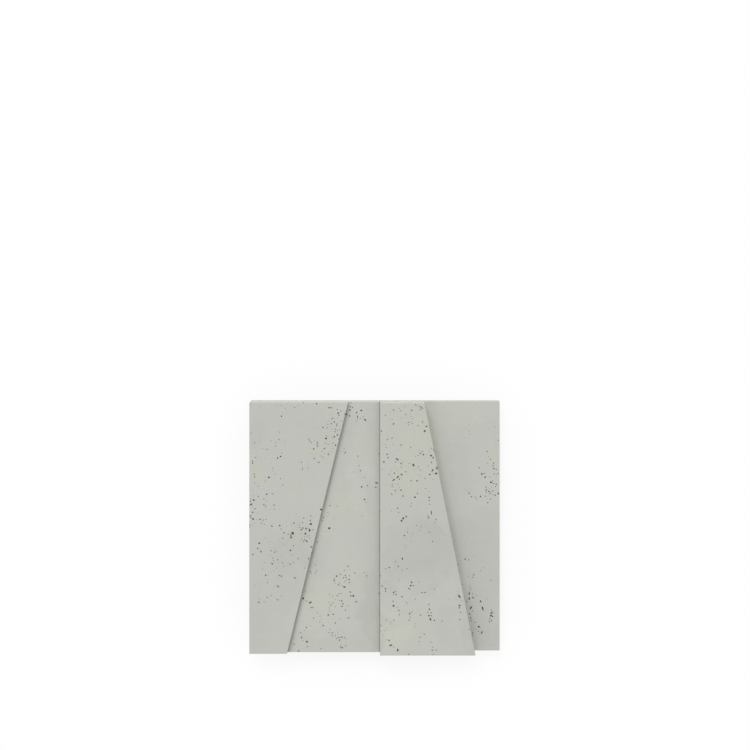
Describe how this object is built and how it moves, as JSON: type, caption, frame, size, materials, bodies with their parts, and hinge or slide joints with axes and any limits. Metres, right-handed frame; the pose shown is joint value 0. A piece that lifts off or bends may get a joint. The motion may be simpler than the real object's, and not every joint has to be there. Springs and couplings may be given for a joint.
{
  "type": "3d wall panel tile",
  "caption": "Square concrete relief tile that faces a wall: a flat back, and flat front facets at different heights parted by upright and slanted steps.",
  "frame": {"origin": "middle of the flat back, which is the face that is bonded to the wall and the one the tile lies on", "axes": "+Z out of the relief face, +Y up the tile as it hangs, +X to the right as the face is looked at"},
  "size_m": [0.6, 0.6, 0.05],
  "materials": {
    "concrete": "fair-faced cast concrete, pale warm grey, matt, with small open pores"
  },
  "bodies": {
    "root": {"relief_panel": "concrete"}
  },
  "joints": []
}
